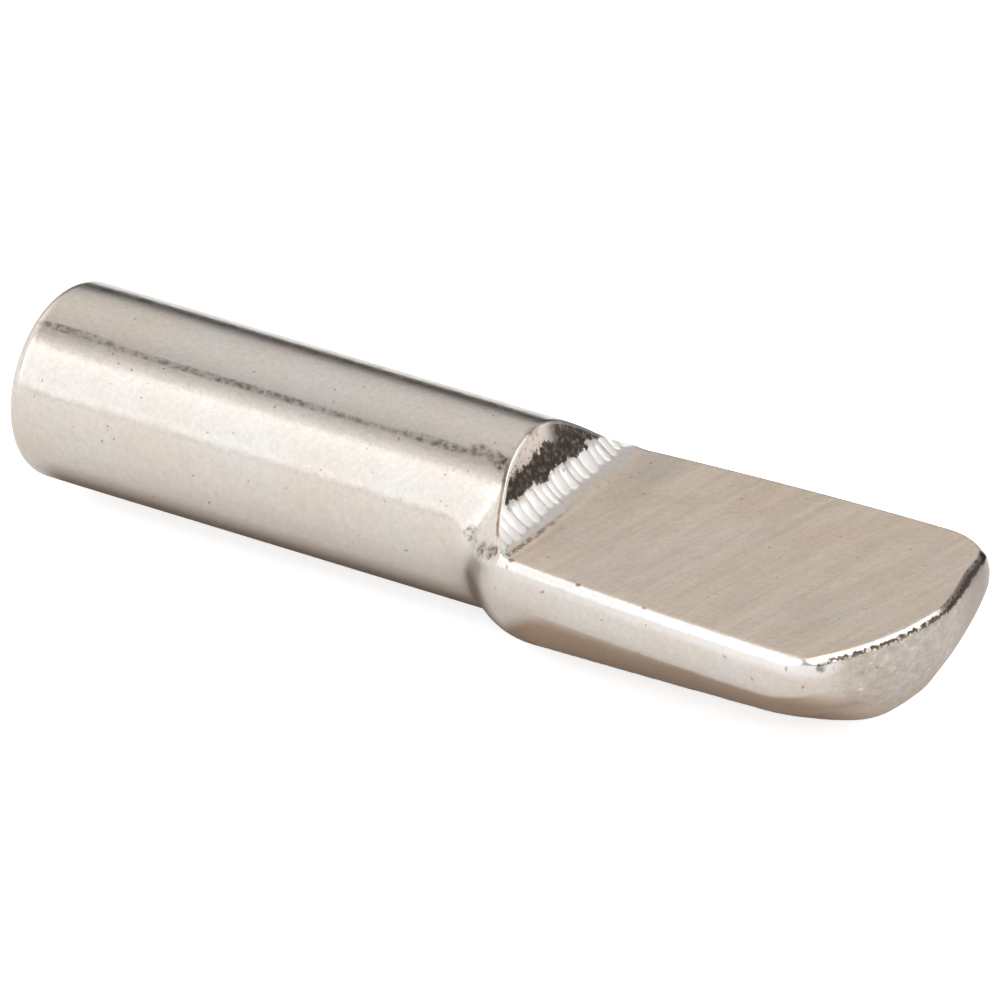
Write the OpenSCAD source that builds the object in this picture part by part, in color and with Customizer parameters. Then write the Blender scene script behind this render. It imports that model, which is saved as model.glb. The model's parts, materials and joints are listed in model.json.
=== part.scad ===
// Shelf support pin: a round steel shank that plugs into a cabinet side, with its other end
// pressed into a blade, flat on top and round underneath, that carries the shelf.
//
// X runs along the shank toward the blade's tip and Z is up out of the flat. The origin is on
// the shank's axis, below the top of the shoulder between shank and flat. Lengths are in
// millimetres.

/* [Shank] */
// Diameter of the shank, which fills the hole in the cabinet side
shank_d = 5; // [4.4:0.1:6]
// Length of the shank, from its free end to the top of the shoulder
shank_l = 14; // [8:0.5:24]
// Radius on the rim of the shank's free end
end_r = 0.5; // [0.1:0.05:1]
// How far behind the shoulder the pressing starts to swell the shank
neck_back = 0.2; // [0.1:0.05:1]
// Growth of the shank's radius from there to the foot of the shoulder
neck_swell = 0.1; // [0.02:0.01:0.1]

/* [Flat] */
// Height of the flat above the shank's axis
flat_h = 0.75; // [0.3:0.05:1.2]
// Angle of the shoulder's face above the flat, in degrees
shoulder_a = 60; // [45:1:80]
// Radius of the fillet at the foot of the shoulder
foot_r = 1; // [0.2:0.05:1.5]

/* [Blade] */
// Length of the blade, from the top of the shoulder to its tip
blade_l = 12.05; // [9:0.05:20]
// How far each side of the blade stands out past the shank, at the shoulder
root_spread = 1.15; // [0.8:0.05:1.6]
// How much further each side stands out at the tip
tip_spread = 0.55; // [0.1:0.05:0.8]
// How far the belly hangs below the shank's underside, at the shoulder
belly_drop = 0.4; // [0.25:0.05:0.6]
// How much the belly rises from there to the tip
belly_rise = 0.5; // [0.1:0.05:0.7]
// How much the belly's radius is more than half the blade's width at the tip
belly_room = 0.4; // [0.2:0.05:3]
// Radius of the rounded sides, below the flat
side_r = 1.5; // [1.3:0.05:2]

/* [Back of the blade] */
// How much the radius of the flare's back is more than half the blade's width there
flare_room = 0.25; // [0.1:0.05:1]
// How far the flare starts behind the shoulder
flare_back = 0.7; // [0.3:0.05:1.2]
// Radius that rolls the flare's back under into the belly
flare_rim_r = 2; // [1:0.05:2.4]

/* [Tip] */
// Radius of the tip's edge, seen from above
tip_r = 8; // [7:0.5:20]
// Radius that rolls the tip's face under into the belly
nose_r = 2.6; // [2:0.1:3.2]
// Radius of the tip's corner on the -Y side, seen from above
near_corner_r = 0.4; // [0.2:0.1:1.5]
// Radius of the tip's corner on the +Y side, seen from above
far_corner_r = 1.8; // [0.2:0.1:2.4]

/* [Hidden] */
$fn = 96;

shank_r = shank_d / 2;
// Reach of the cutting bodies past the part
past = 8;
// Depth of the flare's and nose's rolls past the belly, so that they meet it in a clean edge
roll_clear = 0.05;
// Flat strips that make up the fillet at the foot of the shoulder
foot_steps = 12;

// The shoulder's face falls from the shank's top to the flat, and its fillet ends on the flat
shoulder_run = (shank_r - flat_h) / tan(shoulder_a);
foot_reach = foot_r * tan(shoulder_a / 2);
flat_x = shoulder_run + foot_reach;

// Half width of the blade at the shoulder, and how much it grows for each millimetre to the tip
root_half = shank_r + root_spread;
growth = tip_spread / blade_l;
side_a = atan(growth);

// Depth of the belly below the shank's axis at the shoulder, and the angle at which it rises
root_depth = shank_r + belly_drop;
belly_a = atan(belly_rise / blade_l);
belly_r = root_half + tip_spread + belly_room;
function belly_depth(x) = root_depth - x * tan(belly_a);

// The flare's radius is worked out so that its circle clears the blade's sides beside its centre,
// where the flare ends
flare_r = (root_half + flare_room - flare_back * growth) / (1 - growth);
flare_x = flare_r - flare_back;
tip_x = blade_l - tip_r;

// Centre of the circle of radius r that rounds a corner of the tip, touching the side and the tip
function corner_centre(r) =
    let (start = root_half - r / cos(side_a))
    let (reach = tip_r - r)
    let (a = 1 + growth * growth)
    let (b = start * growth - tip_x)
    let (c = start * start + tip_x * tip_x - reach * reach)
    let (x = (sqrt(b * b - a * c) - b) / a)
    [x, start + growth * x];

module shank() {
    neck = shank_l - neck_back;
    foot = shank_l + flat_x;
    translate([-shank_l, 0, 0])
        rotate([0, 90, 0])
            rotate_extrude() {
                square([shank_r - end_r, neck]);
                translate([0, end_r]) square([shank_r, neck - end_r]);
                translate([shank_r - end_r, end_r]) circle(end_r);
                polygon([[0, neck], [shank_r, neck], [shank_r + neck_swell, foot], [0, foot]]);
            }
}

// All that is pressed away above the shoulder's face and its fillet
module shoulder_cut() {
    foot = [for (i = [0 : foot_steps])
        let (turn = shoulder_a * i / foot_steps)
        [flat_x - foot_r * sin(turn), flat_h + foot_r * (1 - cos(turn))]];
    above = [-1, shank_r + tan(shoulder_a)];
    ahead = flat_x + past;
    rotate([90, 0, 0])
        linear_extrude(2 * past, center = true)
            polygon(concat(foot, [above, [ahead, above[1]], [ahead, flat_h]]));
}

// Everything that lies inside the +Y side, below the flat
module side() {
    rotate([0, 0, side_a])
        translate([-past, 0, 0])
            rotate([90, 0, 90])
                linear_extrude(blade_l + 2 * past)
                    intersection() {
                        union() {
                            translate([-past, -past]) square([past + root_half, past]);
                            translate([-past, -past]) square([past + root_half - side_r, 2 * past]);
                            translate([root_half - side_r, 0]) circle(side_r);
                        }
                        translate([-past, -past]) square([3 * past, past + flat_h]);
                    }
}

// Everything above the belly
module belly() {
    translate([0, 0, -root_depth])
        rotate([0, 90 - belly_a, 0])
            translate([-belly_r, 0, -past])
                cylinder(r = belly_r, h = blade_l + 2 * past);
}

// A disc that stands upright and rolls under at its lower rim, into a belly of a given depth
module rolled_disc(r, roll, depth) {
    roll_z = roll - depth - roll_clear;
    rotate_extrude() {
        translate([0, -past]) square([r - roll, 2 * past]);
        intersection() {
            translate([r - roll, roll_z]) circle(roll);
            translate([0, -past]) square(2 * past);
        }
        children();
    }
}

// The flare's disc, with a block that fills everything in front of its centre
module flare() {
    roll_z = flare_rim_r - root_depth - roll_clear;
    translate([flare_x, 0, 0]) {
        rolled_disc(flare_r, flare_rim_r, root_depth)
            translate([0, roll_z]) square([flare_r, past - roll_z]);
        translate([0, -past, -past]) cube([2 * blade_l, 2 * past, 2 * past]);
    }
}

// The tip's disc, with a block that fills everything behind its centre
module nose() {
    translate([tip_x, 0, 0]) {
        rolled_disc(tip_r, nose_r, belly_depth(blade_l - nose_r));
        translate([-2 * blade_l, -past, -past]) cube([2 * blade_l, 2 * past, 2 * past]);
    }
}

// The sliver outside one rounded corner of the tip
module corner_cut(r) {
    centre = corner_centre(r);
    to_side = [-sin(side_a), cos(side_a)];
    to_tip = (centre - [tip_x, 0]) / norm(centre - [tip_x, 0]);
    translate([0, 0, -past])
        linear_extrude(2 * past)
            translate(centre)
                difference() {
                    polygon([[0, 0], past * to_side, past * (to_side + to_tip), past * to_tip]);
                    circle(r);
                }
}

module blade() {
    difference() {
        intersection() {
            side();
            mirror([0, 1, 0]) side();
            belly();
            flare();
            nose();
        }
        corner_cut(far_corner_r);
        mirror([0, 1, 0]) corner_cut(near_corner_r);
    }
}

module shelf_pin() {
    color([0.72, 0.69, 0.65]) {
        difference() {
            shank();
            shoulder_cut();
        }
        blade();
    }
}

shelf_pin();
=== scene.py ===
"""A nickel-plated shelf support pin: round shank, stepped shoulder and spoon-shaped blade.

Lengths inside the classes are millimetres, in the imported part's own frame: X runs along the
shank toward the blade's tip, Z is up out of the flat, and the origin is on the shank's axis
below the top of the shoulder. The body is one subdivided block whose long edges follow the
pressed edges of the real part, so that each of them stays crisp.
"""
import json
import logging
import math
from dataclasses import dataclass
from enum import Enum
from typing import ClassVar

import bmesh
import bpy
import numpy as np
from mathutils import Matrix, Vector
from mathutils.kdtree import KDTree

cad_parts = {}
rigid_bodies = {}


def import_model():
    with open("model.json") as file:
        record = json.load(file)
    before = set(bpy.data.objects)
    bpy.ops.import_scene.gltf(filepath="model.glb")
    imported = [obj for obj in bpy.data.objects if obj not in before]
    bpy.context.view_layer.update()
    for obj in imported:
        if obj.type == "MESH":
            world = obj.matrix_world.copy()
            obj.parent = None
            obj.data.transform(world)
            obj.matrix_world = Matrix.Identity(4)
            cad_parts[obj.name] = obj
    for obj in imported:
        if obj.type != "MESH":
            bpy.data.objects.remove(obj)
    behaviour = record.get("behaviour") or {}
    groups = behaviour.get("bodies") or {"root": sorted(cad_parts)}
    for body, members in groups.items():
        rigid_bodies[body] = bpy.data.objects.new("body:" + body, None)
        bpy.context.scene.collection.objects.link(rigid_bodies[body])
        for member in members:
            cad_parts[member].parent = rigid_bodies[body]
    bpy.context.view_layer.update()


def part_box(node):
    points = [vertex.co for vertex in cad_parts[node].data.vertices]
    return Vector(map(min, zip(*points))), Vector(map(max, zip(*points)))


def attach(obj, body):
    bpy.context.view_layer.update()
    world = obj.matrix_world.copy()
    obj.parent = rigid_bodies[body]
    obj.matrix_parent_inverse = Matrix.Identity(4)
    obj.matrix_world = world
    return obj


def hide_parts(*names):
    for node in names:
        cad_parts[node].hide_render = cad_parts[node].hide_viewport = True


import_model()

MM = 0.001
NODE = "shelf_pin"
BODY = "root"
# How far the floor lies below the CAD model, in metres
FLOOR_GAP = 0.00001
# Half the length that a slope is measured over, in millimetres
PROBE = 0.02
# Halvings of a range in which a crossing is looked for, and rounds that bring two lines together
HALVINGS = 30
ROUNDS = 8

Array = np.ndarray
Number = Array | float
Pair = tuple[Array, Array]
Triple = tuple[float, float, float]
Socket = bpy.types.NodeSocket
Value = float | Triple | Socket
Layers = list[tuple[Socket, Triple]]

log = logging.getLogger("shelf_pin")


class Side(Enum):
    """The two long sides of the blade, by the sign of Y."""

    NEAR = -1
    FAR = 1


def ease(t: Number) -> Number:
    """Returns a smooth step of t from 0 to 1."""
    t = np.clip(t, 0.0, 1.0)
    return t * t * (3.0 - 2.0 * t)


def mix(a: Number, b: Number, t: Number) -> Number:
    """Returns the value a share t of the way from a to b."""
    return a + (b - a) * t


def ripple(place: Array, *waves: Triple) -> Array:
    """Adds up sine waves.

    Args:
        place: where to read them.
        waves: the height, the rate and the start of each of them.

    Returns:
        Their sum at each place.
    """
    return sum(height * np.sin(rate * place + start) for height, rate, start in waves)


@dataclass
class Shank:
    """The round end that plugs into the cabinet side."""

    radius: float = 2.5
    end_radius: float = 0.5
    free_end: float = -14.0

    def rim(self, turn: float) -> tuple[float, float]:
        """Gives a point on the rounded rim of the free end.

        Args:
            turn: angle from the end face, 0 to 90 degrees.

        Returns:
            The place along X and the radius there.
        """
        a = math.radians(turn)
        x = self.free_end + self.end_radius * (1.0 - math.cos(a))
        return x, self.radius - self.end_radius * (1.0 - math.sin(a))


@dataclass
class Shoulder:
    """The pressed face between the shank's top and the flat, steepest at its top."""

    top_x: float = 0.214
    top_z: float = 2.5
    flat_height: float = 0.75
    foot_radius: float = 1.208
    face_slope: float = 60.368
    face_top: float = 1.627
    top_slope: float = 88.0
    turn: float = 0.078
    bow: float = 0.008
    above: float = 0.5
    foot_steps: int = 60
    face_steps: int = 241

    def __post_init__(self) -> None:
        """Draws the profile, from the flat up to a little above the shank."""
        turn = np.linspace(0.0, math.radians(self.face_slope), self.foot_steps)
        foot_x = -self.foot_radius * np.sin(turn)
        foot_z = self.flat_height + self.foot_radius * (1.0 - np.cos(turn))
        up = np.linspace(foot_z[-1], self.top_z + self.above, self.face_steps)
        mid = (up[1:] + up[:-1]) / 2.0
        share = np.clip((mid - self.face_top) / (self.top_z - self.face_top), 0.0, 1.0)
        slope = np.radians(mix(self.face_slope, self.top_slope, share))
        face_x = foot_x[-1] - np.cumsum(np.diff(up) / np.tan(slope))
        self.line_x = np.concatenate([foot_x, face_x])
        self.line_z = np.concatenate([foot_z, up[1:]])
        self.line_x += self.top_x - np.interp(self.top_z, self.line_z, self.line_x)
        step = np.hypot(np.diff(self.line_x), np.diff(self.line_z))
        self.line_s = np.concatenate([[0.0], np.cumsum(step)])
        self.foot_x = float(self.line_x[0])

    def shift(self, y: Number) -> Number:
        """Returns how far the face lies along X at each width, because it was pressed askew."""
        return -self.turn * y - self.bow * y * y

    def height(self, x: Number, y: Number) -> Number:
        """Returns the height of the pressed surface at each place."""
        return np.interp(x - self.shift(y), self.line_x[::-1], self.line_z[::-1])

    def along(self, z: Number) -> Number:
        """Returns the distance from the foot, measured up the face, at each height."""
        return np.interp(z, self.line_z, self.line_s)

    def at(self, s: Array, y: Array) -> Pair:
        """Gives points of the face.

        Args:
            s: distances from the foot, measured up the face.
            y: places across.

        Returns:
            The places along X and the heights.
        """
        x = np.interp(s, self.line_s, self.line_x) + self.shift(y)
        return x, np.interp(s, self.line_s, self.line_z)

    def facing(self, s: Array) -> Pair:
        """Gives the direction in which the face points.

        Args:
            s: distances from the foot, measured up the face.

        Returns:
            The X and the Z part of the outward direction.
        """
        x, z = (np.interp(s + PROBE, self.line_s, line) - np.interp(s - PROBE, self.line_s, line)
                for line in (self.line_x, self.line_z))
        size = np.hypot(x, z)
        return z / size, -x / size


@dataclass
class BladeOutline:
    """The blade's outline across: rounded sides, a tighter lower corner and a broad belly."""

    flat_height: float = 0.75
    crease_root: float = 3.270
    crease_growth: float = 0.122
    crease_fall: float = 0.0055
    depth_root: float = 2.909
    depth_fall: float = 0.047
    side_radius: float = 1.498
    corner_radius: float = 0.652
    crease_angle: float = 32.0
    lip_angle: float = 12.0
    lip_radius: float = 1.2
    side_low_angle: float = -16.5
    step: float = 0.25
    blend: int = 13

    def __post_init__(self) -> None:
        """Lists the facing angles of the outline's points, from straight down to straight up."""
        self.angles = np.arange(-90.0, 90.0 + self.step / 2.0, self.step)

    def crease(self, x: float) -> float:
        """Returns half the flat's width at a place along X."""
        return self.crease_root + self.crease_growth * x - self.crease_fall * x * x

    def depth(self, x: float) -> float:
        """Returns how far the belly hangs below the shank's axis at a place along X."""
        return self.depth_root - self.depth_fall * x

    def points(self, x: float) -> Pair:
        """Gives half the outline, from the bottom up, one point for each facing angle.

        Args:
            x: place along the blade.

        Returns:
            The distances from the middle and the heights.
        """
        a1, a2, a3 = (math.radians(a) for a in (
            -self.side_low_angle, self.lip_angle, self.crease_angle))
        reach = self.crease(x) + self.side_radius * (1.0 - math.cos(a2))
        reach += self.lip_radius * (math.cos(a2) - math.cos(a3))
        across = reach - self.side_radius * (1.0 - math.cos(a1))
        across -= self.corner_radius * math.cos(a1)
        up = self.flat_height + self.depth(x) - self.side_radius * (math.sin(a1) + math.sin(a2))
        up -= self.lip_radius * (math.sin(a3) - math.sin(a2))
        up -= self.corner_radius * (1.0 - math.sin(a1))
        switch = math.pi / 2.0 - 2.0 * math.atan(up / across)
        belly_radius = across / math.cos(switch) + self.corner_radius
        mid = (self.angles[1:] + self.angles[:-1]) / 2.0
        bend = np.where(mid < -math.degrees(switch), belly_radius, self.corner_radius)
        bend = np.where(mid > self.side_low_angle, self.side_radius, bend)
        bend = np.where(mid > self.lip_angle, self.lip_radius, bend)
        window = np.hanning(2 * self.blend + 1)
        bend = np.convolve(np.pad(bend, self.blend, mode="edge"), window / window.sum(), "valid")
        turn, step = np.radians(mid), math.radians(self.step)
        y = np.concatenate([[0.0], np.cumsum(-bend * np.sin(turn) * step)])
        z = np.concatenate([[0.0], np.cumsum(bend * np.cos(turn) * step)])
        y *= self.crease(x) / np.interp(self.crease_angle, self.angles, y)
        z += self.flat_height - np.interp(self.crease_angle, self.angles, z)
        return y, z


@dataclass
class Flare:
    """How the round shank swells into the blade just behind the shoulder.

    The swelling starts low down and works its way up the side. Its concave corner is crisp
    underneath and soft on the sides. The rows give its shape for each facing angle.
    """

    facing: tuple[float, ...] = (-90.0, -30.0, 0.0, 12.0, 28.0, 45.0)
    start: tuple[float, ...] = (-0.16, -0.17, -0.14, 0.04, 0.32, 0.48)
    end: tuple[float, ...] = (1.42, 1.42, 1.40, 1.38, 1.44, 1.50)
    roundness: tuple[float, ...] = (2.0, 2.0, 1.55, 1.25, 1.15, 1.1)
    softness: tuple[float, ...] = (0.03, 0.09, 0.34, 0.32, 0.22, 0.18)
    top_hold: float = 47.0
    top_fade: float = 40.0
    far_lead: float = 0.5
    far_low: float = -20.0
    far_rise: float = 50.0
    average: float = 12.0
    samples: int = 13
    least: float = 0.004
    lead_x: float = -1.0
    lead_length: float = 0.6

    def share(self, x: float, angles: Array, side: Side) -> Array:
        """Gives the share of the blade's outline in the section at one place.

        Args:
            x: place along the pin.
            angles: facing angles, in degrees.
            side: the side of the pin, because the far side swells earlier high up.

        Returns:
            The share at each angle, from 0 to 1.
        """
        if side is Side.FAR:
            x = x + self.far_lead * ease((angles - self.far_low) / self.far_rise)
        near = angles[None] + np.linspace(-self.average, self.average, self.samples)[:, None]
        start, end, power, soft = (np.interp(near, self.facing, row).mean(0) for row in (
            self.start, self.end, self.roundness, self.softness))
        u = (x - start) / (end - start)
        u = (u + np.sqrt(u * u + soft * soft)) / 2.0
        u = np.clip(u / ((1.0 + np.sqrt(1.0 + soft * soft)) / 2.0), 0.0, 1.0)
        u = np.maximum(u - self.least, 0.0) / (1.0 - self.least)
        fade = 1.0 - ease((angles - self.top_hold) / self.top_fade)
        lead = ease((x - self.lead_x) / self.lead_length)
        return (1.0 - (1.0 - u) ** power) * fade * lead


@dataclass
class Nose:
    """The cropped and rolled-under tip of the blade."""

    tip_x: float = 11.841
    edge_radius: float = 7.197
    far_kink: float = 0.4
    far_slope: float = 13.866
    bulge: float = 0.184
    bulge_z: float = 0.305
    roll: float = 3.09
    near_round: float = 0.1
    near_round_growth: float = 1.0
    near_most: float = 1.994
    far_round: float = 1.138
    belly_round: float = 0.552
    top_z: float = 0.75
    shear: float = 0.38
    waves: tuple[Triple, ...] = ((0.10, 9.0, 1.0), (0.09, 23.0, 0.0), (0.07, 41.0, 0.0))
    arc_room: float = 0.12
    steepest: float = 1.05
    roll_most: float = 0.985
    roll_fall: float = 4.0
    belly_half: float = 0.6
    belly_fade: float = 1.8

    def edge_x(self, y: Array) -> Array:
        """Gives the tip's upper edge: an arc, cut straight on the far side.

        Args:
            y: places across.

        Returns:
            The places along X.
        """
        arc = self.tip_x - self.edge_radius
        arc = arc + np.sqrt(np.maximum(self.edge_radius**2 - y * y, 1.0))
        line = self.tip_x - (y - self.far_kink) * math.tan(math.radians(self.far_slope))
        return np.where(y > self.far_kink, np.minimum(line, arc + self.arc_room), arc)

    def set_back(self, y: Array, z: Array) -> Array:
        """Gives how far the end face stands beyond the upper edge.

        Args:
            y: places across.
            z: heights.

        Returns:
            The distance along X at each point.
        """
        rise = np.clip((z - self.bulge_z) / (self.top_z - self.bulge_z), 0.0, 1.0)
        ragged = 1.0 + ripple(y, *self.waves)
        above = self.bulge * (1.0 - self.shear * ragged * rise * rise)
        above = np.minimum(above, (self.top_z - z) * self.steepest)
        drop = np.maximum(self.bulge_z - z, 0.0)
        t = np.minimum(drop / self.roll, self.roll_most)
        under = self.bulge - self.roll * (1.0 - np.sqrt(1.0 - t * t))
        under -= self.roll_fall * np.maximum(drop - self.roll_most * self.roll, 0.0)
        return np.where(z > self.bulge_z, above, under)

    def rounding(self, y: Array, z: Array, top: float) -> Array:
        """Gives the width of the rounding between the sides and the end face.

        Args:
            y: places across.
            z: heights.
            top: height of the flat.

        Returns:
            The width at each point.
        """
        near = self.near_round + self.near_round_growth * np.maximum(top - z, 0.0)
        near = np.minimum(near, self.near_most)
        sides = np.where(y < 0.0, near, self.far_round)
        return mix(self.belly_round, sides, ease((np.abs(y) - self.belly_half) / self.belly_fade))


@dataclass
class Ridges:
    """The rounded press marks that run down the lower part of the shoulder."""

    pitch: float = 0.33
    height: float = 0.018
    low: float = 0.56
    high: float = 1.30
    low_fade: float = 0.07
    high_fade: float = 0.22
    near_drop: float = 0.19
    near_reach: float = 3.2
    crown: float = 0.4
    floor: float = 0.1
    sideways: tuple[Triple, ...] = ((0.18, 2.1, 0.5), (0.12, 5.3, 2.0))
    lean: float = 0.12
    size: float = 0.75
    size_wave: Triple = (0.25, 2.39, 0.0)
    low_wave: Triple = (0.04, 4.1, 0.0)
    high_wave: Triple = (0.10, 1.7, 1.0)
    low_groove: float = 0.12

    def lift(self, y: Array, s: Array) -> tuple[Array, Array, Array]:
        """Gives the ridges' relief. Each ridge differs a little in place, length and height.

        Args:
            y: places across.
            s: distances from the foot, measured up the face.

        Returns:
            How far the face stands out there, how far each place is on a ridge and how near it
            is to a groove, both from 0 to 1.
        """
        place = y / self.pitch + ripple(y, *self.sideways)
        place = place + self.lean * np.sin(3.0 * s + 4.0 * y)
        turn = np.floor(place)
        wave = np.abs(np.sin(np.pi * (place - turn))) ** self.crown
        size = self.height * (self.size + ripple(turn, self.size_wave))
        low = self.low - self.near_drop * ease(-y / self.near_reach)
        low = low + ripple(turn, self.low_wave) + self.low_groove * (1.0 - wave)
        high = self.high + ripple(turn, self.high_wave)
        mask = ease((s - low) / self.low_fade) * ease((high - s) / self.high_fade)
        return size * (wave + self.floor) * mask, mask, (1.0 - wave) * mask


@dataclass
class PinBody:
    """The whole pin as one block, subdivided and then pressed to shape.

    The mesh carries the measures that its finish needs. Four are distances in millimetres: from
    the shoulder's rim, from the blade's long edges and from the tip's edge, less than 0 on the
    pressed side of them, and up the face from the shoulder's foot, less than 0 on the flat. The
    others run from 0 to 1: on a ridge, near a groove between two ridges, and on the end face.
    The other constants are distances of the closely spaced rows from a crisp edge, the range of
    guides' lengths in which the surface is looked for, the foot's measure where there is no
    foot, and the passes that ease the pressed edges and the rim.
    """

    MEASURES: ClassVar[tuple[str, ...]] = (
        "rim", "side", "tip", "foot", "ridge", "groove", "end")
    CLOSE: ClassVar[tuple[float, ...]] = (0.0, 0.035, 0.07, 0.105, 0.15, 0.205)
    CAST: ClassVar[tuple[float, float]] = (0.2, 2.2)
    OFF_FOOT: ClassVar[float] = 3.0
    EDGE_EASING: ClassVar[int] = 2
    RIM_EASING: ClassVar[int] = 5

    shank: Shank
    shoulder: Shoulder
    outline: BladeOutline
    flare: Flare
    nose: Nose
    ridges: Ridges
    across: int = 176
    up: int = 26
    end_rows: int = 8
    shank_rows: int = 14
    neck_rows: int = 26
    face_rows: int = 46
    flat_rows: int = 44
    tip_rows: int = 46
    neck_start: float = -1.0
    arch_angle: float = 35.0
    side_low: float = -35.0
    tip_start: float = 7.5
    core: Triple = (9.0, 0.0, -0.6)
    edge_core_x: float = 7.0
    low_x: float = 10.6
    low_y: float = 2.6
    low_z: float = -1.9
    corner_x: float = 10.93
    end_fade: float = 0.6
    far_trim: float = 0.036
    trim_start: float = 3.0
    first_angle: float = 30.0
    room: float = 0.4
    top_width: float = 6.9
    side_height: float = 1.7
    face_length: float = 2.4
    tip_length: float = 4.0
    cuts_from: float = 6.0
    cuts_to: float = 13.0
    cuts: int = 29
    tree_steps: int = 7

    def __post_init__(self) -> None:
        """Works out the rows, the spacings and the cuts through the blade that the rest uses."""
        self.arch_row = self.end_rows + self.shank_rows + self.neck_rows
        self.foot_row = self.arch_row + self.face_rows
        self.tip_row = self.foot_row + self.flat_rows
        self.rows = self.tip_row + self.tip_rows
        self.top_share = self.edge_spacing(self.across, self.top_width, both=True)
        self.low_share = np.linspace(0.0, 1.0, self.across + 1)
        self.side_share = self.toward_edge(self.up, self.side_height)
        self.face_share = self.edge_spacing(self.face_rows, self.face_length, both=False)
        self.tip_share = self.toward_edge(self.tip_rows, self.tip_length)
        self.sections = {}
        self.cut_x = np.linspace(self.cuts_from, self.cuts_to, self.cuts)
        turn = np.radians(self.outline.angles[::2])
        self.normals = np.stack([np.cos(turn), np.sin(turn)])
        shapes = [np.stack(self.outline.points(x))[:, ::2] for x in self.cut_x]
        self.supports = np.stack([(self.normals * s).sum(0) for s in shapes])

    @staticmethod
    def edge_spacing(count: int, length: float, both: bool) -> Array:
        """Spaces points along a strip, closer together beside its crisp edges.

        Args:
            count: number of steps.
            length: rough length of the strip.
            both: whether both ends are crisp, or only the first.

        Returns:
            Shares of the way along, from 0 to 1.
        """
        close = np.array(PinBody.CLOSE) / length
        if both:
            inner = np.linspace(close[-1], 1.0 - close[-1], count + 1 - 2 * (len(close) - 1))
            return np.concatenate([close[:-1], inner, (1.0 - close[:-1])[::-1]])
        inner = np.linspace(close[-1], 1.0, count + 1 - (len(close) - 1))
        return np.concatenate([close[:-1], inner])

    def toward_edge(self, count: int, length: float) -> Array:
        """Returns the same spacing for a strip that ends at its one crisp edge."""
        return 1.0 - self.edge_spacing(count, length, both=False)[::-1]

    def section(self, x: float, side: Side) -> Pair:
        """Gives half the section at one place, one point for each facing angle.

        Args:
            x: place along the pin.
            side: the side of the pin.

        Returns:
            The distances from the middle and the heights.
        """
        key = (round(float(x), 5), side)
        if key not in self.sections:
            turn = np.radians(self.outline.angles)
            y, z = self.outline.points(x)
            share = self.flare.share(x, self.outline.angles, side)
            y = mix(self.shank.radius * np.cos(turn), y, share)
            z = mix(self.shank.radius * np.sin(turn), z, share)
            self.sections[key] = (y, z)
        return self.sections[key]

    def skin(self, x: float, angle: float, side: Side) -> Array:
        """Gives one point of the outer skin.

        Args:
            x: place along the pin.
            angle: the point's facing angle.
            side: the side of the pin, because the far side is trimmed a little.

        Returns:
            The point.
        """
        y, z = self.section(x, side)
        angles = self.outline.angles
        across = np.interp(angle, angles, y)
        if side is Side.FAR:
            across -= self.far_trim * max(across - self.trim_start, 0.0)
        return np.array([x, side.value * across, np.interp(angle, angles, z)])

    def edge_point(self, s: float, side: Side) -> Array:
        """Gives the point where the skin of one side meets the pressed surface.

        Args:
            s: distance from the shoulder's foot, measured up its face.
            side: the side of the pin.

        Returns:
            The point.
        """
        angles = self.outline.angles
        y = np.array(side.value * self.trim_start)
        for _ in range(ROUNDS):
            x, height = self.shoulder.at(np.array(s), y)
            across, z = self.section(float(x), side)
            y = np.array(side.value * np.interp(np.interp(height, z, angles), angles, across))
        return np.array([float(x), float(y), float(height)])

    def crease_angle(self, x: float, side: Side) -> float:
        """Gives the facing angle at which the skin meets the pressed surface.

        Args:
            x: place along the pin.
            side: the side of the pin.

        Returns:
            The angle, in degrees.
        """
        y, z = self.section(x, side)
        angle = self.first_angle
        for _ in range(ROUNDS):
            across = side.value * np.interp(angle, self.outline.angles, y)
            angle = float(np.interp(self.shoulder.height(x, across), z, self.outline.angles))
        return angle

    def rim_x(self, angle: float, side: Side) -> float:
        """Gives the place of the shoulder's rim.

        Args:
            angle: facing angle of the skin there.
            side: the side of the pin.

        Returns:
            The place along X.
        """
        low, high = self.shoulder.top_x - self.room, self.shoulder.foot_x + self.room
        for _ in range(HALVINGS):
            mid = (low + high) / 2.0
            _, y, z = self.skin(mid, angle, side)
            low, high = (low, mid) if z > self.shoulder.height(mid, y) else (mid, high)
        return (low + high) / 2.0

    def solid(self, p: Array) -> Array:
        """Gives the distances of points from the blade's skin and tip.

        Args:
            p: the points, in rows.

        Returns:
            How far each of them stands outside, less than 0 inside.
        """
        x, y, z = p.T
        place = (x - self.cuts_from) * (self.cuts - 1) / (self.cuts_to - self.cuts_from)
        low = np.clip(place, 0, self.cuts - 2).astype(int)
        share = np.clip(place - low, 0.0, 1.0)[:, None]
        support = mix(self.supports[low], self.supports[low + 1], share)
        wide = y + self.far_trim * np.maximum(y - self.trim_start, 0.0)
        skin = (np.stack([np.abs(wide), z], 1) @ self.normals - support).max(1)
        end = x - self.nose.edge_x(y) - self.nose.set_back(y, z)
        width = self.nose.rounding(y, z, self.shoulder.flat_height)
        blend = np.maximum(width - np.abs(skin - end), 0.0)
        return np.maximum(skin, end) + blend * blend / (4.0 * width)

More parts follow.
